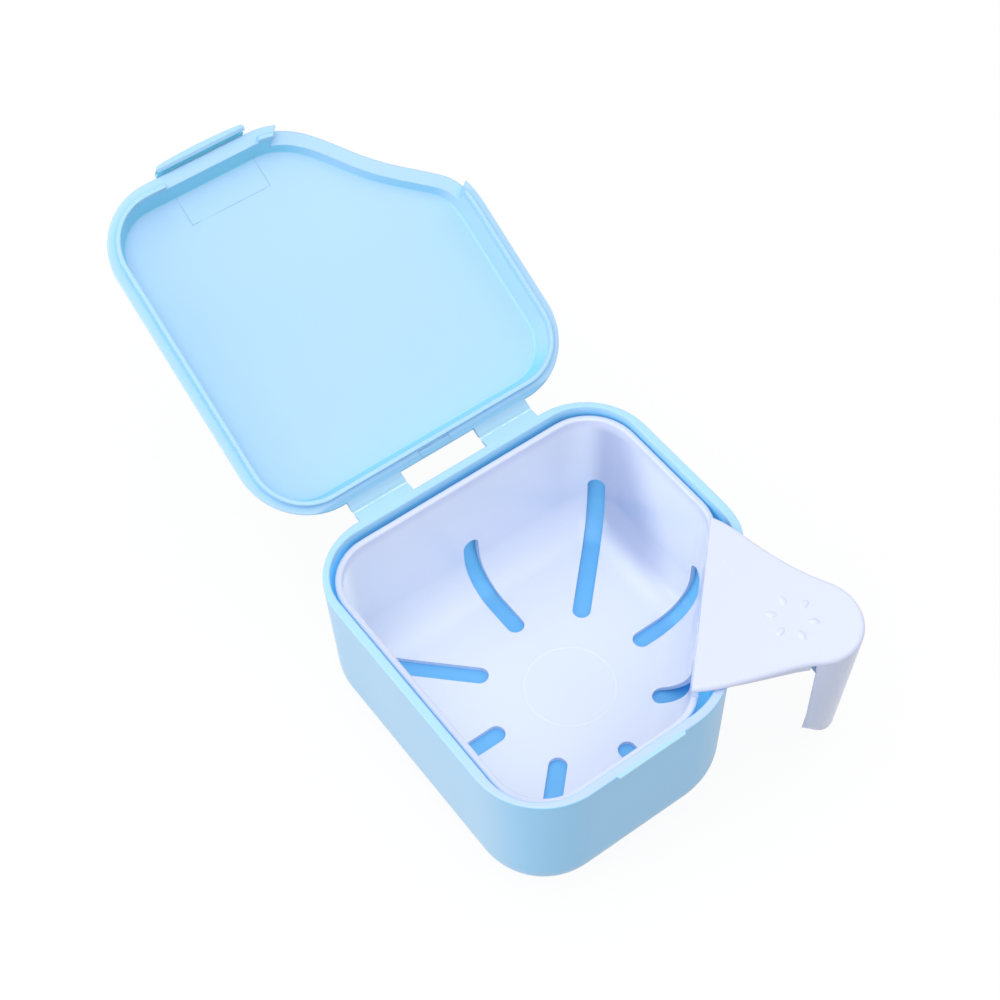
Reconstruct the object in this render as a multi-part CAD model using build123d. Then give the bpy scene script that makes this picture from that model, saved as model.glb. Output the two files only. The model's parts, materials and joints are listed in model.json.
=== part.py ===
from build123d import *
from math import cos, radians, sin, sqrt, tan
import os

# A denture case: a deep base and a shallow lid moulded as one piece with two living-hinge
# straps, and a lift-out draining basket whose corner handle completes the cut-off corner
# of the case.
#
# Frame: millimetres, +Z up, origin at the centre of the base's underside.
# -Y is the front with the latch, +Y the back with the hinge. The corner between +X and -Y
# is cut off. Along that diagonal, "reach" is the distance out from the case's centre
# line and "span" is the distance to either side of the diagonal.

# ---- base ----
HALF_SIDE = 42.5          # half the width and depth of the case at its rim
CORNER_RADIUS = 17.0      # the three rounded corners, outside
CUT_REACH = 36.2          # centre to the outside of the cut-off corner's wall
CUT_BLEND = 7.5           # how far each end of the cut wall takes to turn into its side
CUT_WAVE = 0.55           # how far the cut wall swells out and dips in
CUT_SWELL_SETBACK = 7.9   # from each end of the cut wall to its swell
BASE_HEIGHT = 41.4
BASE_WALL = 2.1
BASE_CORNER_WALL = 1.5    # the wall is thinner in the rounded corners
BASE_FLOOR = 1.5
DRAFT = 1.7               # degrees that the walls lean in towards the bottom
BASE_FOOT_RADIUS = 12.8   # rounding where the outside wall meets the underside
CAVITY_FOOT_RADIUS = 11.0
RIM_EDGE = 0.3            # small rounding on rims

# ---- lid, described closed ----
RIM_GAP = 0.2             # between the two rims when closed
LID_HEIGHT = 7.0
LID_TOP = 2.0
LID_EDGE_RADIUS = 4.5
LID_DRAFT = 16.0          # degrees that the lid's walls lean in towards its top
LID_CAVITY_RADIUS = 0.7   # rounding inside, between wall and top
LIP_CLEARANCE = 0.3       # lid's lip to the base's inside wall
LIP_THICKNESS = 1.0
LIP_HEIGHT = 1.6
NOTCH_CLEARANCE = 0.4     # the handle's plate to the opening in the lid's wall
LID_OPEN_ANGLE = 150.8    # how far the lid stands open in this model

# ---- living hinge ----
HINGE_OFFSET = 2.5        # back wall to the hinge line
STRAP_INNER = 10.2        # each strap starts this far from the centre
STRAP_LENGTH = 14.4
STRAP_THICKNESS = 1.2
STRAP_SETBACK = 0.45      # strap's end to the hinge line
FILM_THICKNESS = 0.4

# ---- latch ----
LATCH_CENTRE = -10.5
LATCH_LENGTH = 22.8
LEDGE_LENGTH = 17.6
LEDGE_DEPTH = 0.6
LEDGE_HEIGHT = 0.9
LATCH_CLEARANCE = 0.3
LATCH_WALL = 1.3
LATCH_RISE = 1.8          # how far the tab reaches up beside the lid's wall
NOSE_HEIGHT = 0.8
NOSE_DEPTH = 0.6
LATCH_BOW = 0.6           # the tab's outer face stands out this much more in its middle
LIP_LATCH_SETBACK = 1.7   # the lid's lip starts this far past the tab's +X end

# ---- basket ----
BASKET_CLEARANCE = 0.6    # all round, with the basket in the middle of the base
BASKET_CUT_CLEARANCE = 3.65    # the same, at the cut corner
BASKET_SHIFT = 0.28       # it sits this far over towards the cut corner, in X and in Y
BASKET_CUT_BLEND = 5.5
BASKET_WALL = 1.5
BASKET_FLOOR = 1.2
BASKET_LIP_CLEARANCE = 0.8     # basket's rim to the closed lid's lip
BASKET_FOOT_RADIUS = 10.8
DRAIN_SHIFT = 0.5         # the slots and ring are set over as far again, in X and in Y
SLOT_COUNT = 8
SLOT_WIDTH = 4.3
SLOT_START = 19.0         # from the slots' centre to each slot's inner end
SLOT_RISE = 15.0          # how far each slot climbs the wall above the floor
RING_RADIUS = 10.6
RING_WIDTH = 0.8
RING_HEIGHT = 0.3

# ---- handle ----
HANDLE_CLEARANCE = 0.4    # underside of the plate to the base's rim
HANDLE_DROOP = 4.9        # degrees that the plate slopes down outwards
HANDLE_ROOT_HALF = 22.6   # half-width where the plate leaves the basket
HANDLE_ROOT_SLOPE = 0.25  # how steeply its sides draw in from there
HANDLE_WAIST = (10.5, 17.85)   # distance out along the plate, half-width
HANDLE_NECK = (19.7, 13.1)
HANDLE_BOW = 0.7          # waist and neck are set over towards the latch by this much
HANDLE_TIP_CENTRE = (24.3, -0.4)    # centre of the rounded tip: out along the plate, and across
HANDLE_TIP_RADIUS = 10.8
HANDLE_TIP_SWEEP = 76     # degrees from the tip's centre line to where the sides start
PLATE_THICKNESS = 1.2
PLATE_EDGE = 1.1
SKIRT_WIDTH = 1.1
SKIRT_DEPTH = 2.6         # plate's edge at the leg, from its top to the bottom of the skirt
SKIRT_CLEARANCE = 2.0     # the skirt starts this far outside the base's wall
LEG_WALL = 1.8
LEG_LENGTH = 34.8         # from the plate's top to the tip of the tongue
LEG_TOP_SWEEP = 83.0      # degrees that the leg wraps to each side of the tip, at the plate
LEG_END_SWEEP = 74.0      # the same, where the tongue's round end begins
PAD_COUNT = 6
PAD_CIRCLE = 4.6
PAD_LENGTH = 2.6
PAD_WIDTH = 1.5
PAD_HEIGHT = 0.3
PAD_CENTRE = (19.4, -1.0)      # centre of the pads: out along the plate, and across it

# ---- worked out ----
ROOT_TWO = sqrt(2)
CUT_SWELL_SPAN = HALF_SIDE * ROOT_TWO - CUT_REACH - CUT_SWELL_SETBACK
RIM_Z = BASE_HEIGHT
LID_Z = RIM_Z + RIM_GAP
HINGE_Y = HALF_SIDE + HINGE_OFFSET
HINGE_Z = RIM_Z + RIM_GAP / 2
BASE_LEAN = tan(radians(DRAFT))
LID_LEAN = tan(radians(LID_DRAFT))
INNER_CORNER_RADIUS = CORNER_RADIUS - (BASE_WALL * ROOT_TWO - BASE_CORNER_WALL) / (ROOT_TWO - 1)
BASKET_HALF = HALF_SIDE - BASE_WALL - BASKET_CLEARANCE
BASKET_CORNER_RADIUS = INNER_CORNER_RADIUS - BASKET_CLEARANCE
BASKET_CUT_REACH = CUT_REACH - BASE_WALL - BASKET_CUT_CLEARANCE
BASKET_FLOOR_Z = BASE_FLOOR + BASKET_FLOOR
BASKET_RIM_Z = LID_Z - LIP_HEIGHT - BASKET_LIP_CLEARANCE
PLATE_START = BASKET_CUT_REACH - BASKET_WALL
WALL_CROSSING = CUT_REACH + CUT_WAVE - PLATE_START - BASKET_SHIFT * ROOT_TWO
SKIRT_START = WALL_CROSSING + SKIRT_CLEARANCE
PLATE_DROP = WALL_CROSSING * tan(radians(HANDLE_DROOP))
HANDLE_LIFT = HANDLE_CLEARANCE + PLATE_THICKNESS + PLATE_DROP
NOTCH_HALF_SPAN = HANDLE_ROOT_HALF + NOTCH_CLEARANCE
NOTCH_DEPTH = HANDLE_LIFT + NOTCH_CLEARANCE
TIP_X, TIP_Y = HANDLE_TIP_CENTRE
FAR = 100.0               # larger than the whole part, for cutting tools


def from_diagonal(reach, span):
    """Plan point at this reach along the cut corner's diagonal and span beside it."""
    return ((reach + span) / ROOT_TWO, (span - reach) / ROOT_TWO)


def waved_cut(half, cut, straight_end):
    """The case's wall across the cut-off corner: it swells, dips and swells again."""
    points = [
        (-straight_end, -half),
        from_diagonal(cut + CUT_WAVE, -CUT_SWELL_SPAN),
        from_diagonal(cut - CUT_WAVE, 0),
        from_diagonal(cut + CUT_WAVE, CUT_SWELL_SPAN),
        (half, straight_end),
    ]
    return [Spline(points, tangents=[(1, 0), (0, 1)])]


def straight_cut(half, cut, straight_end):
    """The basket's wall across the cut-off corner: straight, with a round corner at each end."""
    blend = straight_end - half + cut * ROOT_TWO
    radius = blend / tan(radians(22.5))
    turn = CenterArc((-straight_end, radius - half), radius, -90, 45)
    back = CenterArc((half - radius, straight_end), radius, -45, 45)
    return [turn, Line(turn @ 1, back @ 0), back]


def outline(half, corner, cut, blend, cut_wall):
    """A rounded square whose +X, -Y corner is cut off."""
    straight_end = half - cut * ROOT_TWO + blend
    inner = half - corner
    edges = [
        Line((half, straight_end), (half, inner)),
        CenterArc((inner, inner), corner, 0, 90),
        Line((inner, half), (-inner, half)),
        CenterArc((-inner, inner), corner, 90, 90),
        Line((-half, inner), (-half, -inner)),
        CenterArc((-inner, -inner), corner, 180, 90),
        Line((-inner, -half), (-straight_end, -half)),
    ]
    return make_face(edges + cut_wall(half, cut, straight_end))


def case_outline(inset):
    """The case's outside, moved in by this much."""
    blend = CUT_BLEND - inset * tan(radians(22.5))
    cut = CUT_REACH - inset
    return outline(HALF_SIDE - inset, CORNER_RADIUS - inset, cut, blend, waved_cut)


def cavity_outline(inset):
    """The inside of the base's wall, moved in by this much."""
    depth = BASE_WALL + inset
    corner = INNER_CORNER_RADIUS - inset
    blend = CUT_BLEND - depth * tan(radians(22.5))
    return outline(HALF_SIDE - depth, corner, CUT_REACH - depth, blend, waved_cut)


def basket_outline(inset):
    """The basket's outside in its own place at the centre, moved in by this much."""
    blend = BASKET_CUT_BLEND - inset * tan(radians(22.5))
    cut = BASKET_CUT_REACH - inset
    return outline(BASKET_HALF - inset, BASKET_CORNER_RADIUS - inset, cut, blend, straight_cut)


def prism(shape, low, high):
    """A plan shape made solid between two heights."""
    return extrude(Pos(0, 0, low) * shape, high - low)


def bowl(outline_at, low, high, lean, radius, closed_end="low"):
    """A drafted solid with rounded edges round its closed end."""
    inset = lean * (high - low)
    low_inset, high_inset = (inset, 0) if closed_end == "low" else (0, inset)
    sections = [Pos(0, 0, low) * outline_at(low_inset), Pos(0, 0, high) * outline_at(high_inset)]
    body = loft(sections, ruled=True)
    end_face = body.faces().sort_by(Axis.Z)[0 if closed_end == "low" else -1]
    return fillet(end_face.edges(), radius)


def box_between(low, high):
    """A box from its low corner to its high corner."""
    size = [b - a for a, b in zip(low, high)]
    middle = [(a + b) / 2 for a, b in zip(low, high)]
    return Pos(*middle) * Box(*size)


def open_lid(shape):
    """A piece of the closed lid, turned about the hinge line to where the lid stands open."""
    hinge = Axis((0, HINGE_Y, HINGE_Z), (-1, 0, 0))
    return shape.rotate(hinge, LID_OPEN_ANGLE)


def place_basket(shape):
    """Move a piece of the basket to where it sits in the base."""
    return Pos(BASKET_SHIFT, -BASKET_SHIFT, 0) * shape


def place_drain(shape):
    """Move a slot or the ring from the basket's centre to the slots' centre."""
    return Pos(DRAIN_SHIFT, -DRAIN_SHIFT, 0) * shape


# ---- base ----
def base_outside():
    """The outside of the base, filled in."""
    return bowl(case_outline, 0, RIM_Z, BASE_LEAN, BASE_FOOT_RADIUS)


def base_shell():
    """The deep base: one wall all round, rounded into a flat floor."""
    cavity = bowl(cavity_outline, BASE_FLOOR, RIM_Z, BASE_LEAN, CAVITY_FOOT_RADIUS)
    shell = base_outside() - cavity
    rim = shell.faces().sort_by(Axis.Z)[-1]
    return fillet(rim.edges(), RIM_EDGE)


def latch_ledge():
    """The catch that the lid's tab snaps under: a low bead along the top of the front wall."""
    bead = box_between(
        (LATCH_CENTRE - LEDGE_LENGTH / 2, -HALF_SIDE - LEDGE_DEPTH, RIM_Z - LEDGE_HEIGHT),
        (LATCH_CENTRE + LEDGE_LENGTH / 2, -HALF_SIDE + BASE_WALL / 2, RIM_Z),
    )
    ends = bead.faces().sort_by(Axis.Y)[0].edges().filter_by(Axis.Z)
    return fillet(ends, LEDGE_DEPTH * 0.9) - base_shell()


# ---- living hinge ----
def strap_plate(low_z):
    """Half of one strap, from inside the back wall to just short of the hinge line."""
    return box_between(
        (STRAP_INNER, HALF_SIDE - BASE_WALL / 2, low_z),
        (STRAP_INNER + STRAP_LENGTH, HINGE_Y - STRAP_SETBACK, low_z + STRAP_THICKNESS),
    )


def on_side(side, shape):
    """A piece made at the +X side, or its mirror image at the -X side."""
    return shape if side > 0 else mirror(shape, Plane.YZ)


def base_strap(side):
    """The half of a hinge strap that stands out from the base's rim."""
    return on_side(side, strap_plate(RIM_Z - STRAP_THICKNESS) - base_shell())


def lid_strap(side):
    """The half of a hinge strap that stands out from the lid's rim."""
    return on_side(side, strap_plate(LID_Z) - lid_body())


def hinge_film(side):
    """The thin web that bends: a strip from the base's strap to a bead on the hinge line."""
    middle_x = STRAP_INNER + STRAP_LENGTH / 2
    strip = box_between(
        (STRAP_INNER, HINGE_Y - STRAP_SETBACK, RIM_Z - FILM_THICKNESS),
        (STRAP_INNER + STRAP_LENGTH, HINGE_Y, RIM_Z),
    )
    bead = Pos(middle_x, HINGE_Y, HINGE_Z) * Rot(0, 90, 0)
    bead = bead * Cylinder(FILM_THICKNESS / 2, STRAP_LENGTH)
    return on_side(side, strip + bead)


# ---- lid ----
def handle_notch():
    """The room that the handle's plate needs through the lid's lip and wall."""
    inner_reach = CUT_REACH - 2 * BASE_WALL - CUT_BLEND
    room = box_between(
        (-NOTCH_HALF_SPAN, -FAR, LID_Z - LIP_HEIGHT - 1),
        (NOTCH_HALF_SPAN, -inner_reach, RIM_Z + NOTCH_DEPTH),
    )
    return Rot(0, 0, 45) * room


def lid_body():
    """The closed lid before the handle's opening is cut."""
    outside = bowl(case_outline, LID_Z, LID_Z + LID_HEIGHT, LID_LEAN, LID_EDGE_RADIUS, "high")
    lip_inside = LIP_CLEARANCE + LIP_THICKNESS
    cavity = bowl(
        lambda inset: cavity_outline(lip_inside + inset),
        LID_Z, LID_Z + LID_HEIGHT - LID_TOP, LID_LEAN, LID_CAVITY_RADIUS, "high",
    )
    shell = outside - cavity
    rim = shell.faces().sort_by(Axis.Z)[0]
    return fillet(rim.outer_wire().edges(), RIM_EDGE)


def lid_shell():
    """The shallow lid, with its wall cut lower where the handle passes out."""
    return lid_body() - handle_notch()


def lid_lip():
    """The plug lip that stands inside the base's wall, left out at the handle and the latch."""
    ring = cavity_outline(LIP_CLEARANCE) - cavity_outline(LIP_CLEARANCE + LIP_THICKNESS)
    lip = prism(ring, LID_Z - LIP_HEIGHT, LID_Z)
    latch_room = box_between(
        (LATCH_CENTRE - LATCH_LENGTH / 2, -FAR, 0),
        (LATCH_CENTRE + LATCH_LENGTH / 2 + LIP_LATCH_SETBACK, 0, FAR),
    )
    return lip - latch_room - handle_notch()


def latch_tab():
    """The springy tab: a web beside the lid's wall, a drop outside the ledge, a nose under it."""
    web = HALF_SIDE + LATCH_CLEARANCE
    inner = web + LEDGE_DEPTH
    outer = inner + LATCH_WALL
    top = LID_Z + LATCH_RISE
    step = LID_Z + RIM_GAP
    nose_top = RIM_Z - LEDGE_HEIGHT - LATCH_CLEARANCE
    nose_low = nose_top - NOSE_HEIGHT
    section = Polyline(
        (-outer, nose_low + RIM_EDGE),
        (-outer + RIM_EDGE, nose_low),
        (-inner, nose_low),
        (-inner + NOSE_DEPTH, nose_top - NOSE_HEIGHT / 3),
        (-inner + NOSE_DEPTH, nose_top),
        (-inner, nose_top),
        (-inner, step),
        (-web, step),
        (-web, top),
        (-inner, top),
        (-outer, step),
        close=True,
    )
    half = LATCH_LENGTH / 2
    start = Plane((LATCH_CENTRE - half, 0, 0), x_dir=(0, 1, 0), z_dir=(1, 0, 0))
    end_y = -outer + LATCH_BOW
    bow = ThreePointArc((-half, end_y), (0, -outer), (half, end_y))
    plan = make_face([bow, Polyline((half, end_y), (half, 0), (-half, 0), (-half, end_y))])
    tab = extrude(start * make_face(section), LATCH_LENGTH)
    tab = tab & prism(Pos(LATCH_CENTRE, 0) * plan, 0, FAR)
    ends = tab.faces().sort_by(Axis.Y)[0].edges().filter_by(Axis.Z)
    return fillet(ends, (LATCH_WALL - LATCH_BOW) * 0.9)


# ---- basket ----
def drain_slot(angle):
    """A cutter for one slot: along the floor, up the wall, round at both ends."""
    half = SLOT_WIDTH / 2
    top = BASKET_FLOOR_Z + SLOT_RISE - half
    run = box_between((SLOT_START + half, -half, -1), (FAR, half, top))
    inner_end = Pos(SLOT_START + half, 0, top / 2) * Cylinder(half, top + 2)
    upper_end = Pos((SLOT_START + FAR) / 2, 0, top) * Rot(0, 90, 0) * Cylinder(half, FAR - SLOT_START)
    return Rot(0, 0, angle) * (run + inner_end + upper_end)


def basket_bowl():
    """The draining basket, with slots that run from the floor up the wall."""
    outside = bowl(basket_outline, BASE_FLOOR, BASKET_RIM_Z, BASE_LEAN, BASKET_FOOT_RADIUS)
    inside = bowl(
        lambda inset: basket_outline(inset + BASKET_WALL),
        BASKET_FLOOR_Z, BASKET_RIM_Z, BASE_LEAN, BASKET_FOOT_RADIUS - BASKET_WALL,
    )
    shell = outside - inside
    rim = shell.faces().sort_by(Axis.Z)[-1]
    shell = fillet(rim.edges(), RIM_EDGE)
    for index in range(SLOT_COUNT):
        shell = shell - place_drain(drain_slot(index * 360 / SLOT_COUNT))
    return place_basket(shell)


def floor_ring():
    """The low ring moulded on the basket's floor."""
    ring = Circle(RING_RADIUS + RING_WIDTH / 2) - Circle(RING_RADIUS - RING_WIDTH / 2)
    ring = prism(ring, BASKET_FLOOR_Z, BASKET_FLOOR_Z + RING_HEIGHT)
    return place_basket(place_drain(ring))


# ---- handle: drawn on a sloping plane with X out along the diagonal and Y across it ----
SLOPE_COS = cos(radians(HANDLE_DROOP))
SLOPE_SIN = sin(radians(HANDLE_DROOP))
HANDLE_PLANE = Plane(
    origin=(*from_diagonal(PLATE_START, 0), RIM_Z + HANDLE_LIFT),
    x_dir=(SLOPE_COS / ROOT_TWO, -SLOPE_COS / ROOT_TWO, -SLOPE_SIN),
    z_dir=(SLOPE_SIN / ROOT_TWO, -SLOPE_SIN / ROOT_TWO, SLOPE_COS),
)


def handle_side(side, inset):
    """One long edge of the plate, from the basket to the round tip."""
    radius = HANDLE_TIP_RADIUS - inset
    meet = radians(HANDLE_TIP_SWEEP)
    points = [
        (0, side * (HANDLE_ROOT_HALF - inset)),
        (HANDLE_WAIST[0], side * (HANDLE_WAIST[1] - inset) - HANDLE_BOW),
        (HANDLE_NECK[0], side * (HANDLE_NECK[1] - inset) - HANDLE_BOW),
        (TIP_X + radius * cos(meet), TIP_Y + side * radius * sin(meet)),
    ]
    tangents = [(1, -side * HANDLE_ROOT_SLOPE), (sin(meet), -side * cos(meet))]
    return Spline(points, tangents=tangents)


def handle_outline(inset=0.0):
    """The plate seen from above: wide at the basket, waisted, with a round tip."""
    radius = HANDLE_TIP_RADIUS - inset
    tip = CenterArc(HANDLE_TIP_CENTRE, radius, -HANDLE_TIP_SWEEP, 2 * HANDLE_TIP_SWEEP)
    root = Line((0, -HANDLE_ROOT_HALF + inset), (0, HANDLE_ROOT_HALF - inset))
    return make_face([root, handle_side(1, inset), tip, handle_side(-1, inset)])


def riser():
    """The strip of basket wall that carries the plate above the rim."""
    half = HANDLE_ROOT_HALF - SKIRT_WIDTH
    ring = basket_outline(0) - basket_outline(BASKET_WALL)
    wall = prism(ring, BASKET_RIM_Z, RIM_Z + HANDLE_LIFT)
    corner = Rot(0, 0, 45) * box_between((-half, -FAR, 0), (half, 0, FAR))
    below_plate = box_between((-FAR, -FAR, -FAR), (FAR, FAR, -PLATE_THICKNESS / 2))
    return wall & corner & (HANDLE_PLANE * below_plate)


def handle_plate():
    """The plate on its riser, with a skirt that deepens along its edges towards the leg."""
    plate = extrude(handle_outline(), -PLATE_THICKNESS)
    skirt = extrude(handle_outline() - handle_outline(SKIRT_WIDTH), -SKIRT_DEPTH)
    wedge = Polyline(
        (SKIRT_START, 0),
        (SKIRT_START, -PLATE_THICKNESS),
        (TIP_X, -SKIRT_DEPTH),
        (TIP_X, 0),
        close=True,
    )
    plate = plate + (skirt & extrude(Plane.XZ * make_face(wedge), FAR, both=True))
    top = plate.faces().filter_by(Axis.Z).sort_by(Axis.Z)[-1]
    free_edges = top.edges().sort_by(Axis.X)[1:]
    plate = fillet(free_edges, PLATE_EDGE)
    return place_basket(riser() + HANDLE_PLANE * plate)


def handle_leg():
    """The curved tongue that hangs from the tip and completes the corner of the case."""
    ring = Circle(HANDLE_TIP_RADIUS) - Circle(HANDLE_TIP_RADIUS - LEG_WALL)
    shell = prism(Pos(TIP_X, TIP_Y) * ring, -LEG_LENGTH, -PLATE_THICKNESS)
    end_radius = HANDLE_TIP_RADIUS * sin(radians(LEG_END_SWEEP))
    end_z = -LEG_LENGTH + end_radius
    top_x = TIP_X + HANDLE_TIP_RADIUS * cos(radians(LEG_TOP_SWEEP))
    end_x = TIP_X + HANDLE_TIP_RADIUS * cos(radians(LEG_END_SWEEP))
    side_view = Polyline((top_x, 0), (FAR, 0), (FAR, end_z), (end_x, end_z), close=True)
    straight = extrude(Plane.XZ * make_face(side_view), FAR, both=True)
    round_end = Pos(end_x + FAR / 2, TIP_Y, end_z) * Rot(0, 90, 0) * Cylinder(end_radius, FAR)
    return place_basket(HANDLE_PLANE * (shell & (straight + round_end)))


def grip_pads():
    """Low raised pads in a ring on the plate, for the thumb."""
    pad = Pos(PAD_CIRCLE, 0) * SlotOverall(PAD_LENGTH, PAD_WIDTH)
    pads = [Rot(0, 0, index * 360 / PAD_COUNT) * pad for index in range(PAD_COUNT)]
    pads = [extrude(Pos(*PAD_CENTRE) * shape, PAD_HEIGHT) for shape in pads]
    return place_basket(HANDLE_PLANE * Compound(children=pads))


PIECES = {
    "base_shell": base_shell(),
    "latch_ledge": latch_ledge(),
    "base_strap_left": base_strap(-1),
    "base_strap_right": base_strap(1),
    "hinge_film_left": hinge_film(-1),
    "hinge_film_right": hinge_film(1),
    "lid_shell": open_lid(lid_shell()),
    "lid_lip": open_lid(lid_lip()),
    "lid_strap_left": open_lid(lid_strap(-1)),
    "lid_strap_right": open_lid(lid_strap(1)),
    "latch_tab": open_lid(latch_tab()),
    "basket_bowl": basket_bowl(),
    "floor_ring": floor_ring(),
    "handle_plate": handle_plate(),
    "handle_leg": handle_leg(),
    "grip_pads": grip_pads(),
}

os.makedirs("parts", exist_ok=True)
for name, piece in PIECES.items():
    export_step(piece, f"parts/{name}.step")
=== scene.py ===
import bpy
import json
from collections import namedtuple
from math import cos, pi, radians, sin, sqrt
from mathutils import Matrix, Vector


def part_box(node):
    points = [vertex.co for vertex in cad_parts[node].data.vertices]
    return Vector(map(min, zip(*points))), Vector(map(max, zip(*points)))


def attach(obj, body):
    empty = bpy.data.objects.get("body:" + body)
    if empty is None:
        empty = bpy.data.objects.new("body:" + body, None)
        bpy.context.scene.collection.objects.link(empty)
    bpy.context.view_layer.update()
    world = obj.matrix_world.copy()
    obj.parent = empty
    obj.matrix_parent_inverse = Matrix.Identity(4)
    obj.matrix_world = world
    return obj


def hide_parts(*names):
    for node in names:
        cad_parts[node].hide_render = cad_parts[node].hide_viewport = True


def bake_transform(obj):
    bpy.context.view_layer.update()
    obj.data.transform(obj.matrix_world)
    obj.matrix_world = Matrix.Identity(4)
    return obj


# A denture case: a pale blue moulded base and lid, joined by two living hinges, and a cool
# white draining basket with a handle. All sizes are in metres, in the case's own frame:
# +Z up, -Y the latch side, and the cut-off corner between +X and -Y.

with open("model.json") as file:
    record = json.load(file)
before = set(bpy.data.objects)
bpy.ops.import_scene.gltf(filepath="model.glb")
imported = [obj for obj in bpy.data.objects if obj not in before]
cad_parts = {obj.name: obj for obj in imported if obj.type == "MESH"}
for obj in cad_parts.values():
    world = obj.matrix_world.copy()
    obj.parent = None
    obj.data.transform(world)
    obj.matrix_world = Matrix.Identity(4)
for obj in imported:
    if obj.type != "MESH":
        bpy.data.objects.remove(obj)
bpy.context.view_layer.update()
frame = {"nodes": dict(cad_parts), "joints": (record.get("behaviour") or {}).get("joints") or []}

MM = 0.001

# ---- sizes of the moulded parts that the finish depends on ----
HINGE = Vector(next(joint["pos_m"] for joint in frame["joints"] if joint["name"] == "lid_hinge"))
LID_OPEN = radians(150.8)
HALF_SIDE = 42.5 * MM
RIM_Z = 41.4 * MM
CASE_ROUNDING = 0.35 * MM
LIP_ROUNDING = 0.5 * MM
HANDLE_ROUNDING = 0.3 * MM
SLOT_ROUNDING = 0.15 * MM
BASKET_RIM_ROUNDING = 0.9 * MM
BASKET_RIM_DEPTH = 6 * MM    # how far below RIM_Z the basket's rim has its own rounding and its painted shade

# ---- the hinge straps ----
STRAP_INNER = 10.2 * MM
STRAP_LENGTH = 14.4 * MM
STRAP_REACH = 2.9 * MM       # from the hinge line into each wall
STRAP_THICKNESS = 1.2 * MM
STRAP_EDGE = 0.12 * MM
STRAP_EDGE_ANGLE = radians(50)
RIM_GAP = 0.2 * MM
FOLD_REACH = 0.22            # share of the strap's reach that bends
FOLD_SHOULDER = 0.35         # share of the reach where each straight part has a middle point
FOLD_THICKNESS = 0.4 * MM
FOLD_DIP = 0.10 * MM
FOLD_STEPS = 8

# ---- the handle's sloping plate and its marks ----
PLATE_DROOP = radians(4.9)
PLATE_START = Vector((20.7525, -20.7525, 43.6345)) * MM
PAD_COUNT = 6
PAD_CIRCLE = 4.6 * MM
PAD_LENGTH = 3.1 * MM
PAD_WIDTH = 1.95 * MM
PAD_DEPTH = 0.75 * MM        # half the height of the dome that each mark is the top of
PAD_SINK = 0.42 * MM         # the dome's centre, below the plate's face
PAD_CENTRE = Vector((19.4, -1.0, 0.0)) * MM

# ---- the handle's leg: half a tube that hangs from the tip ----
LEG_CENTRE = Vector((36.6, -37.1, 0.0)) * MM
LEG_RADIUS = 9.7 * MM

# ---- the ring on the basket's floor ----
RING_RADIUS = 10.6 * MM
RING_WIDTH = 0.6 * MM
RING_HEIGHT = 0.06 * MM
RING_STEPS = 160
SECTION_STEPS = 16

# ---- fine lines that the mould left, placed on the closed lid's plan ----
FINE_LINE = 0.30 * MM
LINE_FADE = 0.2 * MM         # how softly a line ends at its lowest and highest point
WITNESS_CENTRE = (-9.1 * MM, -42.0 * MM)
WITNESS_HALF = (10.4 * MM, 11.7 * MM)
WITNESS_HEIGHTS = (4.0 * MM, 6.0 * MM)
WITNESS_END = (-42.1 * MM, -41.7 * MM)    # the lines fade out here, before the wall's outside
GATE_CENTRE = (0.0, 41.3 * MM)
GATE_HALF = (4.1 * MM, 0.8 * MM)
GATE_HEIGHTS = (-0.6 * MM, 0.5 * MM)

# ---- the plastic's texture; the patterns are in cycles per metre ----
CLOUDS = 18
WORN_LINES = 160
RUBBED_EDGES = 420
SCUFFS = 600
SCUFF_STRETCH = (1, 0.15, 1)
FOLD_PATCHES = 700
GRAIN = 3200
GRAIN_HEIGHT = 0.3           # as a share of BUMP_STEP
BUMP_STEP = 0.02 * MM
BUMP_STRENGTH = 0.2
CLOUD_SHADE = 0.6            # how far the clouds go towards the tint's shade
EDGE_HIGHLIGHT_PALENESS = 0.20         # the painted highlight: how pale every edge is, before the rubbed places
RUB_PALENESS = 0.30          # how much paler an edge is where it is rubbed
CLOUD_ROUGHNESS = 0.08
SCUFF_ROUGHNESS = 0.05
EDGE_SMOOTHNESS = 0.05
CASE_ROUGHNESS = 0.32
LIP_ROUGHNESS = 0.30
STRAP_ROUGHNESS = 0.36
BASKET_ROUGHNESS = 0.22
HANDLE_ROUGHNESS = 0.24
PLASTIC_IOR = 1.46
SURFACE_SAMPLES = 6          # rays that feel for edges and inside corners
CREVICE_REACH = 1.6 * MM
GROOVE_REACH = 2.4 * MM

# ---- colours of the case, as linear values ----
CASE_BLUE = (0.437, 0.719, 0.956)
CASE_BLUE_DEEP = (0.36, 0.67, 0.95)
# The pale edges: a painted highlight, and rubbing.
PALE_BLUE = (0.60, 0.84, 0.99)
# Painted shade: the deep blue of the base's inner walls, in the shaded gap round the basket.
HOLLOW_SHADE_BLUE = (0.17, 0.55, 0.90)
# Painted shade on the floor inside the base, seen through the basket's slots.
HOLLOW_FLOOR_SHADE_BLUE = (0.15, 0.50, 0.88)
# Painted glow: emission on the base's inner walls, standing in for light through them.
HOLLOW_GLOW = (0.05, 0.20, 0.30)
# Painted shade: the deeper blue of the shaded walls on the latch side.
FRONT_SHADE_BLUE = (0.33, 0.69, 0.99)
# Painted light: a greyer, more violet tone on the rim along the latch side.
FRONT_RIM_PAINTED_TONE = (0.50, 0.66, 0.92)
# Painted light: the lid's blue, paler and greyer than the base's, for its brightly lit floor.
LID_LIT_BLUE = (0.485, 0.71, 0.95)
# Painted shade: the saturated blue of the walls inside the lid.
LID_WALL_SHADE_BLUE = (0.26, 0.69, 0.92)
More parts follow.
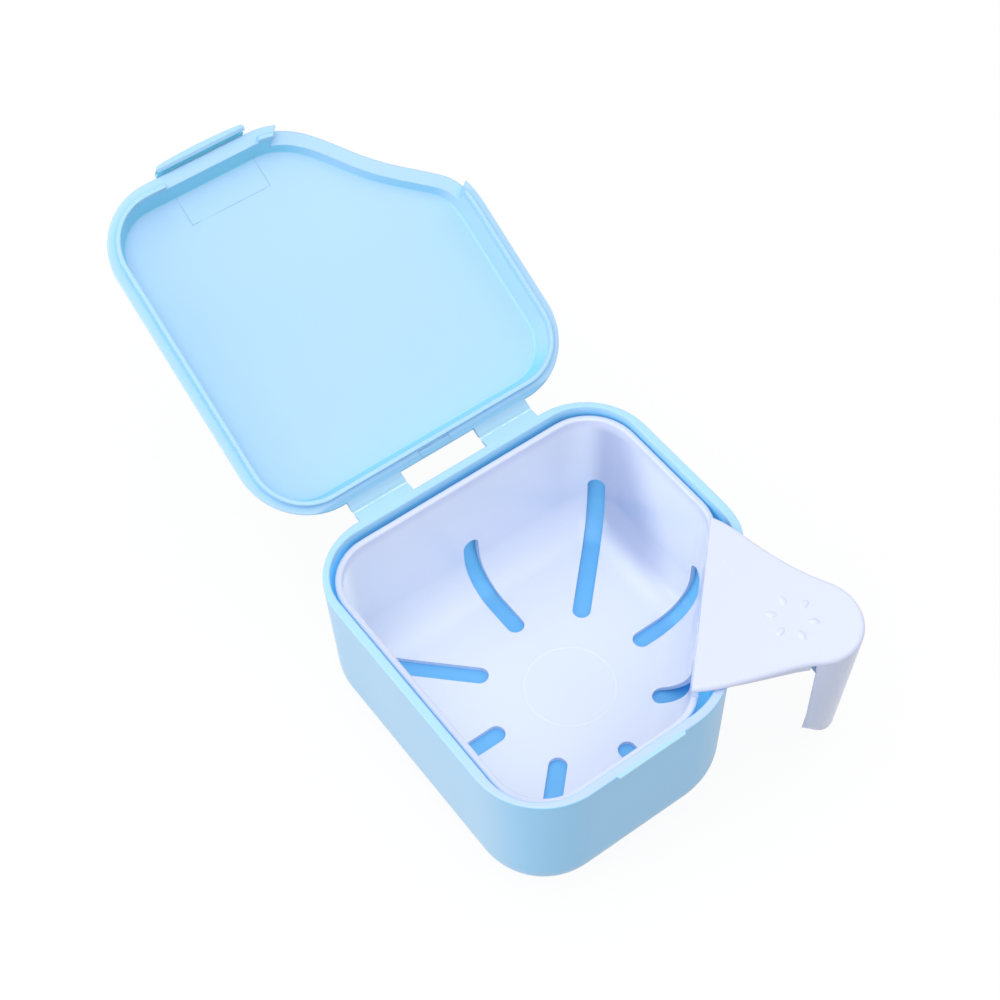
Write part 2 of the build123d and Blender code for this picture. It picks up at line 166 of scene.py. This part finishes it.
# Painted shade on the lid's rim along the hinge side.
LID_HINGE_RIM_SHADE = (0.24, 0.53, 0.78)
# Painted shade in the tight inside corners of the lid.
CREVICE_SHADE_BLUE = (0.16, 0.62, 0.97)
# Painted shade deep in the groove beside the latch's tab.
GROOVE_SHADE_BLUE = (0.10, 0.80, 0.99)
WITNESS_BLUE = (0.20, 0.42, 0.62)
# Painted shade: the straps darker than the case, and their lid ends darker still.
STRAP_SHADE_BLUE = (0.42, 0.70, 0.87)
STRAP_SHADE_BLUE_DEEP = (0.38, 0.67, 0.85)
LID_STRAP_SHADE_BLUE = (0.31, 0.54, 0.76)
# Painted highlight along the fold of each strap.
FOLD_HIGHLIGHT_PALE = (0.80, 0.92, 0.99)

# ---- colours of the basket and its handle ----
# Darker than BASKET_INSIDE: painted shade on the basket's rim and outside.
BASKET_WHITE = (0.70, 0.75, 0.93)
BASKET_SHADE = (0.67, 0.72, 0.92)
# The pale edges: a painted highlight, and rubbing.
BASKET_EDGE = (0.78, 0.83, 0.96)
BASKET_INSIDE = (0.775, 0.828, 0.965)
# Painted light on the basket's inner wall at -X.
BASKET_LIT = (0.87, 0.93, 0.99)
# Painted glow on that wall: emission standing in for light through it.
BASKET_GLOW = (0.08, 0.09, 0.09)
# Painted shade in the basket's corner at +X.
BASKET_CORNER_SHADE = (0.48, 0.545, 0.76)
# Painted highlight: the low ring paler than the floor round it.
RING_HIGHLIGHT_PALE = (0.83, 0.88, 0.98)
HANDLE_WHITE = (0.69, 0.74, 0.93)
# The pale edges: a painted highlight, and rubbing.
PALE_WHITE = (0.93, 0.95, 0.99)
LEG_INSIDE_BLUE = (0.20, 0.60, 0.99)

# ---- the studio ----
WHITE = (1, 1, 1)
BLACK = (0, 0, 0)
FLOOR_LIT = (0.32, 0.36, 0.42)     # what the floor sends back up at the case
FLOOR_SEEN = (0.96, 0.96, 0.96)
FLOOR_WHITENESS = 0.92             # share of plain white in what is seen of the floor
FLOOR_HALF = 1.5
FLOOR_DROP = 0.2 * MM
SKY_LIGHT = 0.58
LIGHT_AIM = Vector((0.0, 0.04, 0.03))
LIGHTS = [                         # name, place, size and power
    ("top", (-0.15, 0.3, 0.9), 0.7, 1.35),
    ("left", (-0.9, 0.2, 0.42), 0.6, 3.3),
    ("front", (-0.35, -0.55, 0.85), 0.7, 1.7),
    ("high", (-0.1, -0.25, 1.0), 0.9, 2.3),
    ("right", (0.8, 0.0, 0.75), 0.6, 1.3),
]
CAMERA_PLACE = Vector((-150.35, -196.36, 403.35)) * MM
CAMERA_TURN = (radians(36.907), radians(1.499), radians(-36.382))
CAMERA_LENS = 73.22
CAMERA_SENSOR = 36.0


# ---------------------------------------------------------------- node trees
Axes = namedtuple("Axes", "x y z")


class Value:
    """A socket that does arithmetic: each operator adds the Math node that it needs."""

    def __init__(self, graph, socket):
        self.graph = graph
        self.socket = socket

    def math(self, operation, *others):
        return self.graph.add("ShaderNodeMath", settings={"operation": operation},
                              sockets=enumerate((self, *others)))

    def __add__(self, other):
        return self.math("ADD", other)

    def __sub__(self, other):
        return self.math("SUBTRACT", other)

    def __mul__(self, other):
        return self.math("MULTIPLY", other)

    def __truediv__(self, other):
        return self.math("DIVIDE", other)

    def __neg__(self):
        return self * -1

    def __rsub__(self, other):
        return -self + other

    __radd__ = __add__
    __rmul__ = __mul__

    def size(self):
        """The value without its sign."""
        return self.math("ABSOLUTE")

    def larger(self, other):
        """The larger of two values."""
        return self.math("MAXIMUM", other)

    def within(self, low, high):
        """0 below low, 1 above high, smooth between."""
        return self.graph.add("MapRange", settings={"interpolation_type": "SMOOTHSTEP"},
                              Value=self, From_Min=low, From_Max=high)


class Graph:
    """A node tree built by calls: each adds a node, sets it up and feeds its sockets."""

    prefix = "ShaderNode"

    def __init__(self, tree):
        self.tree = tree
        self.nodes = tree.nodes
        self.links = tree.links
        self.nodes.clear()

    def feed(self, slot, item):
        """Connects a socket, or writes a plain number, colour or vector into it."""
        if isinstance(item, Value):
            self.links.new(item.socket, slot)
        elif isinstance(item, tuple) and len(slot.default_value) == len(item) + 1:
            slot.default_value = (*item, 1.0)
        else:
            slot.default_value = item

    def node(self, kind, settings=(), sockets=()):
        """A node with its settings made first, then its sockets fed by their name or number.

        The kind is given without the tree's prefix, or in full, with Node in it, for a node
        that every tree can hold.
        """
        node = self.nodes.new(kind if "Node" in kind else self.prefix + kind)
        for key, setting in dict(settings).items():
            setattr(node, key, setting)
        for key, item in dict(sockets).items():
            self.feed(node.inputs[key], item)
        return node

    def add(self, kind, output=0, settings=(), sockets=(), **named):
        """One output of a new node; sockets can also be named in the call, with _ for spaces."""
        named = {key.replace("_", " "): item for key, item in named.items()}
        node = self.node(kind, settings, {**dict(sockets), **named})
        return Value(self, node.outputs[output])


class Shader(Graph):
    """The node tree of one material."""

    def __init__(self, name):
        self.material = bpy.data.materials.new(name)
        self.material.use_nodes = True
        super().__init__(self.material.node_tree)

    def blend(self, factor, first, second):
        """The first colour where the factor is 0, the second where it is 1."""
        return self.add("Mix", output=2, settings={"data_type": "RGBA"},
                        sockets={0: factor, 6: first, 7: second})

    def vector_math(self, operation, first, second, output=0):
        return self.add("VectorMath", output=output, settings={"operation": operation},
                        sockets={0: first, 1: second})

    def axes(self, vector):
        parts = self.node("SeparateXYZ", sockets={"Vector": vector}).outputs
        return Axes(*[Value(self, part) for part in parts])

    def place(self, turn=0.0, origin=(0, 0, 0)):
        """Where the surface is in the piece's own axes, from an origin and turned about X."""
        raw = self.add("TexCoord", output="Object")
        moved = self.vector_math("SUBTRACT", raw, Vector(origin))
        return self.axes(self.add("Mapping", Vector=moved, Rotation=(turn, 0, 0)))

    def facing(self, turn=0.0):
        """Which way the surface faces in the piece's own axes, turned about X."""
        normal = self.add("TexCoord", output="Normal")
        return self.axes(self.add("Mapping", Vector=normal, Rotation=(turn, 0, 0)))

    def noise(self, scale, detail=2.0, roughness=0.5, stretch=(1, 1, 1)):
        """Smooth noise in cycles per metre, centred on 0.5."""
        place = self.add("TexCoord", output="Object")
        spread = self.add("Mapping", Vector=place, Scale=stretch)
        return self.add("TexNoise", Vector=spread, Scale=scale, Detail=detail,
                        Roughness=roughness)

    def soft_normal(self, radius):
        """The surface's normal with its edges rounded off by a radius."""
        return self.add("Bevel", settings={"samples": SURFACE_SAMPLES}, Radius=radius)

    def edge(self, rounded):
        """1 along the edges that the rounded normal softens, 0 on flat faces."""
        flat = self.add("NewGeometry", output="Normal")
        alike = self.vector_math("DOT_PRODUCT", rounded, flat, output="Value")
        return (1 - alike).within(0.01, 0.25)

    def open_sky(self, reach):
        """1 where nothing stands near the surface, less in corners and grooves."""
        return self.add("AmbientOcclusion", output="AO",
                        settings={"samples": SURFACE_SAMPLES}, Distance=reach)

    def finish(self, surface):
        self.node("OutputMaterial", sockets={"Surface": surface})
        return self.material


# ---------------------------------------------------------------- masks on the surface
def closed_lid(shader):
    """A place on the lid as if it were closed: across, along from the hinge line, and up."""
    return shader.place(LID_OPEN, HINGE)


def facing_middle(place, facing, reach=HALF_SIDE):
    """Above 0 where a wall faces the middle, below 0 where it faces away."""
    return -(place.x * facing.x + place.y * facing.y) / reach


def crevice(shader):
    """1 in tight inside corners, such as the root of the lid's lip, 0 on open faces: where shade
    is painted.
    """
    return 1 - shader.open_sky(CREVICE_REACH).within(0.35, 0.95)


def groove(shader):
    """1 deep in the narrow groove between the latch's tab and the lid, where its shade is
    painted.
    """
    return 1 - shader.open_sky(GROOVE_REACH).within(0.40, 0.92)


def hollow_walls(shader):
    """1 on the walls that face the middle of the base, below its rim, where shade and a glow are
    painted.
    """
    place = shader.place()
    inward = facing_middle(place, shader.facing())
    return inward.within(0.1, 0.3) * (1 - place.z.within(RIM_Z - 3 * MM, RIM_Z - 0.2 * MM))


def lit_through(shader):
    """1 on the insides of the walls at -X and -Y, less on the others: where a glow is painted
    that stands in for light coming through from outside.
    """
    facing = shader.facing()
    lit = facing.x.larger(facing.y).within(-0.2, 0.7)
    return hollow_walls(shader) * (0.15 + lit * 0.85)


def hollow_floor(shader):
    """1 on the floor inside the base, where its shade is painted."""
    height = shader.place().z
    return shader.facing().z.within(0.4, 0.8) * (1 - height.within(8 * MM, 14 * MM))


def shaded_front_side(shader):
    """1 on the outside of the walls that face the latch side, where their shade is painted."""
    facing = shader.facing()
    outward = -facing_middle(shader.place(), facing)
    return outward.within(0.1, 0.3) * (-facing.y).within(0.2, 0.8)


def front_rim(shader):
    """1 on the rim of the base along its latch side, where the light on it is painted as a
    greyer, more violet tone.
    """
    place = shader.place()
    rim = shader.facing().z.within(0.7, 0.95) * place.z.within(RIM_Z - 2 * MM, RIM_Z - 1 * MM)
    return rim * (1 - place.y.within(-36 * MM, -10 * MM))


def lid_walls(shader):
    """1 on the walls inside the lid, apart from the one that faces -X: where their shade is
    painted.
    """
    across, along, up = closed_lid(shader)
    facing = shader.facing(LID_OPEN)
    inward = facing_middle(Axes(across, along + HINGE.y, up), facing)
    walls = inward.within(0.3, 0.7) * up.within(0.1 * MM, 0.4 * MM)
    return walls * facing.x.within(-0.9, -0.4)


def lid_hinge_rim(shader):
    """1 on the lid's rim along its hinge side, where its shade is painted."""
    place = closed_lid(shader)
    return place.y.within(-4.5 * MM, -3.5 * MM) * (1 - place.z.within(0.2 * MM, 0.5 * MM))


def fine_outline(shader, centre, half, heights):
    """1 on a fine worn rectangle drawn on the closed lid's plan, between two heights."""
    across, along, up = closed_lid(shader)
    past_side = (across - centre[0]).size() - half[0]
    past_end = (along + (HINGE.y - centre[1])).size() - half[1]
    distance = past_side.larger(past_end).size()
    line = 1 - distance.within(FINE_LINE * 0.3, FINE_LINE * 0.7)
    low, high = heights
    above = up.within(low, low + LINE_FADE)
    below = 1 - up.within(high - LINE_FADE, high)
    worn = shader.noise(WORN_LINES, 1).within(0.36, 0.52)
    return line * above * below * (0.35 + worn * 0.65)


def witness_lines(shader):
    """The outline of the mould's insert, left as a fine line on the inside of the lid."""
    along = closed_lid(shader).y
    lines = fine_outline(shader, WITNESS_CENTRE, WITNESS_HALF, WITNESS_HEIGHTS)
    return lines * (along + HINGE.y).within(*WITNESS_END)


def gate_outline(shader):
    """The mark of the mould's gate, on the lid's rim between the straps."""
    return fine_outline(shader, GATE_CENTRE, GATE_HALF, GATE_HEIGHTS)


def lid_half(shader):
    """0 on the base's end of a strap, more and more towards the lid's end, where more shade is
    painted.
    """
    along = shader.place(0.0, HINGE).y
    return along.within(0.0, 0.5 * MM) * (0.4 + along.within(0.3 * MM, 2.4 * MM) * 0.6)


def fold_line(shader):
    """1 along the hinge line, in patches: where a highlight is painted."""
    along = shader.place(0.0, HINGE).y
    patches = shader.noise(FOLD_PATCHES, 1).within(0.35, 0.55)
    return (1 - along.size().within(0.05 * MM, 0.22 * MM)) * (0.3 + patches * 0.7)


def basket_inside(shader):
    """1 on the basket's inner walls and floor, below its rim."""
    place = shader.place()
    facing = shader.facing()
    inner = facing_middle(place, facing).within(0.1, 0.3).larger(facing.z.within(0.4, 0.8))
    return inner * (1 - place.z.within(RIM_Z - BASKET_RIM_DEPTH, RIM_Z - 3 * MM))


def lit_side(shader):
    """1 on the basket's inner wall at -X, where light and a glow are painted."""
    return basket_inside(shader) * shader.facing().x.within(0.3, 0.8)


def shaded_corner(shader):
    """1 at the hinge end of the basket's inner wall at +X, and further along it lower down:
    where shade is painted.
    """
    place = shader.place()
    facing = shader.facing()
    wall = (-facing.x).within(0.3, 0.8) * (1 - (-facing.y).within(0.5, 0.9))
    drift = place.y + (RIM_Z - place.z) * 0.5
    return basket_inside(shader) * wall * drift.within(20 * MM, 36 * MM)


def leg_inside(shader):
    """1 on the top of the leg's inner face and the long edges beside it, less lower down."""
    place = shader.place(0.0, LEG_CENTRE)
    facing = shader.facing()
    inner = facing_middle(place, facing, LEG_RADIUS)
    edges = (facing.y - facing.x) / sqrt(2)
    inside = inner.within(0.2, 0.6).larger(edges.within(0.3, 0.7))
    return inside * (0.45 + place.z.within(30 * MM, 36 * MM) * 0.55)


def rim_rounding(shader):
    """The basket's rounding in metres: wide along its rim, fine round its slots."""
    height = shader.place().z
    near_rim = height.within(RIM_Z - BASKET_RIM_DEPTH, RIM_Z - 4 * MM)
    return SLOT_ROUNDING + near_rim * (BASKET_RIM_ROUNDING - SLOT_ROUNDING)


# ---------------------------------------------------------------- materials
Tint = namedtuple("Tint", "body shade edge")
Feature = namedtuple("Feature", "mask colour strength rise", defaults=(1.0, 0.0))
# A glow is painted light: emission from a part that is no lamp.
Glow = namedtuple("Glow", "mask colour")


def moulded_plastic(name, tint, roughness, rounding=0.0, features=(), glow=None):
    """Satin injection-moulded plastic: faint colour clouds, fine grain, and pale edges, a
    painted highlight that rubbing makes paler still.

    A tint is the colour of the body, of its faint clouds and of its pale edges (painted
    highlight and rubbing). The rounding is a radius, or a function that gives one. A feature
    is a mask, the colour that shows there, how strongly, and how far the surface stands up
    in it. A glow is a mask and the light painted there as emission, for light through the wall.
    """
    shader = Shader(name)
    clouds = shader.noise(CLOUDS, 2, 0.4)
    wear = shader.noise(RUBBED_EDGES, 3, 0.6).within(0.40, 0.65)
    scuffs = shader.noise(SCUFFS, 3, 0.6, SCUFF_STRETCH).within(0.58, 0.80)
    tone = shader.blend(clouds * CLOUD_SHADE, tint.body, tint.shade)
    rough = roughness + (clouds - 0.5) * CLOUD_ROUGHNESS + scuffs * SCUFF_ROUGHNESS
    height = shader.noise(GRAIN, 2) * GRAIN_HEIGHT
    for feature in features:
        amount = feature.mask(shader)
        tone = shader.blend(amount * feature.strength, tone, feature.colour)
        height = height + amount * feature.rise
    under = {}
    if rounding:
        rounded = shader.soft_normal(rounding(shader) if callable(rounding) else rounding)
        rim = shader.edge(rounded)
        # Pale edges: a painted highlight on every edge, paler still where rubbed.
        paleness = EDGE_HIGHLIGHT_PALENESS + wear * RUB_PALENESS
        tone = shader.blend(rim * paleness, tone, tint.edge)
        rough = rough - rim * EDGE_SMOOTHNESS
        under["Normal"] = rounded
    # The glow is painted: emission that stands in for light coming through the wall.
    light = {}
    if glow:
        light["Emission_Color"] = shader.blend(glow.mask(shader), BLACK, glow.colour)
        light["Emission_Strength"] = 1.0
    bumps = shader.add("Bump", Strength=BUMP_STRENGTH, Distance=BUMP_STEP, Height=height,
                       **under)
    return shader.finish(shader.add("BsdfPrincipled", Base_Color=tone, Roughness=rough,
                                    Normal=bumps, IOR=PLASTIC_IOR, **light))


BLUE_TINT = Tint(CASE_BLUE, CASE_BLUE_DEEP, PALE_BLUE)
LID_LIT_TINT = Tint(LID_LIT_BLUE, CASE_BLUE_DEEP, PALE_BLUE)
STRAP_SHADE_TINT = Tint(STRAP_SHADE_BLUE, STRAP_SHADE_BLUE_DEEP, PALE_BLUE)
BASKET_TINT = Tint(BASKET_WHITE, BASKET_SHADE, BASKET_EDGE)
RING_TINT = Tint(RING_HIGHLIGHT_PALE, BASKET_INSIDE, PALE_WHITE)
HANDLE_TINT = Tint(HANDLE_WHITE, BASKET_WHITE, PALE_WHITE)

LEDGE_PLASTIC = moulded_plastic("ledge_blue_plastic", BLUE_TINT, CASE_ROUGHNESS)
LATCH_PLASTIC = moulded_plastic("latch_blue_plastic", BLUE_TINT, CASE_ROUGHNESS, CASE_ROUNDING, [
    Feature(groove, GROOVE_SHADE_BLUE),
])
BASE_PLASTIC = moulded_plastic("base_blue_plastic", BLUE_TINT, CASE_ROUGHNESS, CASE_ROUNDING, [
    Feature(hollow_walls, HOLLOW_SHADE_BLUE),
    Feature(hollow_floor, HOLLOW_FLOOR_SHADE_BLUE),
    Feature(shaded_front_side, FRONT_SHADE_BLUE),
    Feature(front_rim, FRONT_RIM_PAINTED_TONE),
], Glow(lit_through, HOLLOW_GLOW))
LID_PLASTIC = moulded_plastic("lid_blue_plastic", LID_LIT_TINT, CASE_ROUGHNESS, CASE_ROUNDING, [
    Feature(crevice, CREVICE_SHADE_BLUE, 0.5),
    Feature(lid_walls, LID_WALL_SHADE_BLUE),
    Feature(lid_hinge_rim, LID_HINGE_RIM_SHADE),
    Feature(witness_lines, WITNESS_BLUE, 0.5, -1.0),
    Feature(gate_outline, WITNESS_BLUE, 0.8, -1.0),
])
LIP_PLASTIC = moulded_plastic("lip_blue_plastic", BLUE_TINT, LIP_ROUGHNESS, LIP_ROUNDING, [
    Feature(lid_walls, LID_WALL_SHADE_BLUE, 0.3),
])
HINGE_PLASTIC = moulded_plastic("hinge_blue_plastic", STRAP_SHADE_TINT, STRAP_ROUGHNESS, features=[
    Feature(lid_half, LID_STRAP_SHADE_BLUE),
    Feature(fold_line, FOLD_HIGHLIGHT_PALE, 0.6),
])
BASKET_PLASTIC = moulded_plastic(
    "basket_white_plastic", BASKET_TINT, BASKET_ROUGHNESS, rim_rounding, [
        Feature(basket_inside, BASKET_INSIDE),
        Feature(lit_side, BASKET_LIT),
        Feature(shaded_corner, BASKET_CORNER_SHADE),
    ], Glow(lit_side, BASKET_GLOW))
RING_PLASTIC = moulded_plastic("ring_white_plastic", RING_TINT, BASKET_ROUGHNESS)
PLATE_PLASTIC = moulded_plastic(
    "plate_white_plastic", HANDLE_TINT, HANDLE_ROUGHNESS, HANDLE_ROUNDING)
LEG_PLASTIC = moulded_plastic(
    "leg_white_plastic", HANDLE_TINT, HANDLE_ROUGHNESS, HANDLE_ROUNDING, [
        Feature(leg_inside, LEG_INSIDE_BLUE, 0.9),
    ])
MARK_PLASTIC = moulded_plastic("fine_white_plastic", HANDLE_TINT, HANDLE_ROUGHNESS)


def dress(material, *nodes):
    """Gives moulded parts their finished material."""
    for node in nodes:
        mesh = frame["nodes"][node].data
        mesh.materials.clear()
        mesh.materials.append(material)


dress(BASE_PLASTIC, "base_shell")
dress(LID_PLASTIC, "lid_shell")
dress(LIP_PLASTIC, "lid_lip")
dress(LEDGE_PLASTIC, "latch_ledge")
dress(LATCH_PLASTIC, "latch_tab")
dress(HINGE_PLASTIC, "base_strap_left", "base_strap_right", "hinge_film_left",
      "hinge_film_right", "lid_strap_left", "lid_strap_right")
dress(BASKET_PLASTIC, "basket_bowl")
dress(PLATE_PLASTIC, "handle_plate")
dress(LEG_PLASTIC, "handle_leg")
dress(MARK_PLASTIC, "grip_pads")
dress(RING_PLASTIC, "floor_ring")


# ---------------------------------------------------------------- repeated and ruled pieces
class Pattern(Graph):
    """A Geometry Nodes tree with named inputs, run once and kept as a plain mesh."""

    prefix = "GeometryNode"
    socket_types = {int: "NodeSocketInt", float: "NodeSocketFloat"}

    def __init__(self, name, **inputs):
        super().__init__(bpy.data.node_groups.new(name, "GeometryNodeTree"))
        self.values = inputs
        self.slots = {}
        for label, value in inputs.items():
            self.slots[label] = self.tree.interface.new_socket(
                label, in_out="INPUT", socket_type=self.socket_types[type(value)])
        self.tree.interface.new_socket(
            "Geometry", in_out="OUTPUT", socket_type="NodeSocketGeometry")
        self.source = self.node("NodeGroupInput")

    def given(self, label):
        return Value(self, self.source.outputs[label])

    def vector(self, x=0.0, y=0.0, z=0.0):
        return self.add("ShaderNodeCombineXYZ", X=x, Y=y, Z=z)

    def piece(self, name, shape, material):
        """Ends the tree, runs it and gives back its result as a plain smooth mesh object."""
        solid = self.add("RealizeInstances", Geometry=shape)
        smooth = self.add("SetShadeSmooth", Geometry=solid)
        coloured = self.add("SetMaterial", Geometry=smooth, Material=material)
        self.node("NodeGroupOutput", sockets={"Geometry": coloured})
        maker = add_object(name + "_maker", bpy.data.meshes.new(name + "_maker"))
        modifier = maker.modifiers.new("pattern", "NODES")
        modifier.node_group = self.tree
        for label, value in self.values.items():
            modifier[self.slots[label].identifier] = value
        ready = maker.evaluated_get(bpy.context.evaluated_depsgraph_get())
        mesh = bpy.data.meshes.new_from_object(ready)
        maker.modifiers.remove(modifier)
        bpy.data.objects.remove(maker)
        return add_object(name, mesh)


def add_object(name, data):
    """A new object in the scene that shows this mesh, light or camera."""
    made = bpy.data.objects.new(name, data)
    bpy.context.scene.collection.objects.link(made)
    return made


def plate_matrix():
    """From the plate's own plane, X out along the cut corner's diagonal, to the case's frame."""
    out = Vector((cos(PLATE_DROOP) / sqrt(2), -cos(PLATE_DROOP) / sqrt(2), -sin(PLATE_DROOP)))
    up = Vector((sin(PLATE_DROOP) / sqrt(2), -sin(PLATE_DROOP) / sqrt(2), cos(PLATE_DROOP)))
    across = up.cross(out)
    turn = Matrix((out, across, up)).transposed()
    return Matrix.Translation(PLATE_START) @ turn.to_4x4()


def grip_marks():
    """Six low soft lozenges in a ring on the handle, for the thumb."""
    pattern = Pattern("grip_marks_pattern", Count=PAD_COUNT, Circle=PAD_CIRCLE,
                      Length=PAD_LENGTH, Width=PAD_WIDTH, Depth=PAD_DEPTH)
    ring = pattern.add("MeshCircle", Vertices=pattern.given("Count"),
                       Radius=pattern.given("Circle"))
    dome = pattern.add("MeshUVSphere", Segments=32, Rings=16, Radius=1.0)
    half_size = pattern.vector(pattern.given("Length") * 0.5, pattern.given("Width") * 0.5,
                               pattern.given("Depth"))
    dome = pattern.add("Transform", Geometry=dome, Scale=half_size)
    turn = pattern.add("InputIndex") * (2 * pi / PAD_COUNT)
    marks = pattern.add("InstanceOnPoints", Points=ring, Instance=dome,
                        Rotation=pattern.vector(z=turn))
    marks = pattern.piece("grip_marks", marks, MARK_PLASTIC)
    sunk = PAD_CENTRE - Vector((0, 0, PAD_SINK))
    marks.data.transform(plate_matrix() @ Matrix.Translation(sunk))
    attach(marks, "basket")
    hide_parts("grip_pads")


def soft_ring():
    """The low ring on the basket's floor, rounded over."""
    low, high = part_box("floor_ring")
    centre = (low + high) / 2
    pattern = Pattern("soft_ring_pattern", Radius=RING_RADIUS, Width=RING_WIDTH,
                      Height=RING_HEIGHT, Steps=RING_STEPS)
    path = pattern.add("CurvePrimitiveCircle", Resolution=pattern.given("Steps"),
                       Radius=pattern.given("Radius"))
    section = pattern.add("CurvePrimitiveCircle", Resolution=SECTION_STEPS, Radius=1.0)
    size = pattern.vector(pattern.given("Width") * 0.5, pattern.given("Height"), 1.0)
    section = pattern.add("Transform", Geometry=section, Scale=size)
    ring = pattern.add("CurveToMesh", Curve=path, Profile_Curve=section)
    ring = pattern.piece("soft_ring", ring, RING_PLASTIC)
    ring.data.transform(Matrix.Translation((centre.x, centre.y, low.z)))
    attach(ring, "basket")
    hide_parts("floor_ring")


# ---------------------------------------------------------------- hinge straps
def strap_section():
    """Top and bottom points of the strap from the base's wall, over the fold, to the lid's."""
    fold = pi - LID_OPEN
    bend = [step / FOLD_STEPS for step in range(FOLD_STEPS + 1)]
    steps = [(-1.0, 0.0), (-FOLD_SHOULDER, 0.0)]
    steps += [((2 * share - 1) * FOLD_REACH, share) for share in bend]
    steps += [(FOLD_SHOULDER, 1.0), (1.0, 1.0)]
    top, bottom = [], []
    for reach, share in steps:
        slope = fold * share
        along = Vector((0, cos(slope), sin(slope)))
        down = Vector((0, sin(slope), -cos(slope)))
        thinning = sin(pi * share)
        thickness = STRAP_THICKNESS * (1 - thinning) + FOLD_THICKNESS * thinning
        surface = HINGE + along * (reach * STRAP_REACH) + down * RIM_GAP / 2
        top.append(surface + down * thinning * FOLD_DIP)
        bottom.append(surface + down * thickness)
    return top, bottom


def hinge_strap(side, name, *nodes):
    """One strap: thick at both ends, thin where it folds, joining the base to the lid."""
    top, bottom = strap_section()
    loop = top + bottom[::-1]
    count = len(loop)
    ends = (side * STRAP_INNER, side * (STRAP_INNER + STRAP_LENGTH))
    points = [(x, point.y, point.z) for x in ends for point in loop]
    faces = [(i, (i + 1) % count, (i + 1) % count + count, i + count) for i in range(count)]
    faces += [tuple(range(count))[::-1], tuple(range(count, 2 * count))]
    if side > 0:
        faces = [face[::-1] for face in faces]
    mesh = bpy.data.meshes.new(name)
    mesh.from_pydata(points, [], faces)
    mesh.materials.append(HINGE_PLASTIC)
    strap = add_object(name, mesh)
    bevel = strap.modifiers.new("soft_edges", "BEVEL")
    bevel.width = STRAP_EDGE
    bevel.segments = 2
    bevel.angle_limit = STRAP_EDGE_ANGLE
    ready = strap.evaluated_get(bpy.context.evaluated_depsgraph_get())
    strap.data = bpy.data.meshes.new_from_object(ready)
    strap.modifiers.clear()
    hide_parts(*nodes)
    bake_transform(strap)


grip_marks()
soft_ring()
hinge_strap(-1, "hinge_strap_left", "base_strap_left", "hinge_film_left", "lid_strap_left")
hinge_strap(1, "hinge_strap_right", "base_strap_right", "hinge_film_right", "lid_strap_right")


# ---------------------------------------------------------------- studio
def seen_directly(graph):
    """1 for camera, mirror and see-through rays, 0 for the light that falls on the case."""
    rays = graph.node("ShaderNodeLightPath").outputs
    camera = Value(graph, rays["Is Camera Ray"])
    mirror = Value(graph, rays["Is Glossy Ray"])
    see_through = Value(graph, rays["Is Transmission Ray"])
    return camera.larger(mirror).larger(see_through)


def pale_floor():
    """A plain white floor that keeps a soft shadow under the case."""
    shader = Shader("pale_floor")
    seen = seen_directly(shader)
    lit = shader.add("BsdfDiffuse", Color=shader.blend(seen, FLOOR_LIT, FLOOR_SEEN))
    white = shader.add("Emission", Color=WHITE, Strength=1.0)
    mixed = {0: seen * FLOOR_WHITENESS, 1: lit, 2: white}
    return shader.finish(shader.add("MixShader", sockets=mixed))


def make_floor():
    """A wide floor just below the case."""
    mesh = bpy.data.meshes.new("floor")
    low, high = -FLOOR_HALF, FLOOR_HALF
    corners = [(low, low, 0), (high, low, 0), (high, high, 0), (low, high, 0)]
    mesh.from_pydata(corners, [], [(0, 1, 2, 3)])
    mesh.materials.append(pale_floor())
    floor = add_object("floor", mesh)
    floor.location.z = -FLOOR_DROP


def make_world():
    """Even pale surroundings; camera, mirror and see-through rays meet plain white."""
    world = bpy.data.worlds.new("studio")
    bpy.context.scene.world = world
    world.use_nodes = True
    graph = Graph(world.node_tree)
    strength = SKY_LIGHT + seen_directly(graph) * (1 - SKY_LIGHT)
    backdrop = graph.add("Background", Color=WHITE, Strength=strength)
    graph.node("OutputWorld", sockets={"Surface": backdrop})


def area_light(name, place, size, power):
    """A square soft light at a place, turned to face the case."""
    data = bpy.data.lights.new(name, "AREA")
    data.shape = "SQUARE"
    data.size = size
    data.energy = power
    light = add_object(name, data)
    light.location = place
    light.rotation_mode = "QUATERNION"
    light.rotation_quaternion = (LIGHT_AIM - Vector(place)).to_track_quat("-Z", "Y")


def make_camera():
    """A camera above the latch side and towards -X, looking down at the case."""
    data = bpy.data.cameras.new("camera")
    data.sensor_width = CAMERA_SENSOR
    data.lens = CAMERA_LENS
    camera = add_object("camera", data)
    camera.location = CAMERA_PLACE
    camera.rotation_euler = CAMERA_TURN
    bpy.context.scene.camera = camera


make_floor()
make_world()
make_camera()
for light in LIGHTS:
    area_light(*light)
bpy.context.scene.view_settings.view_transform = "Standard"
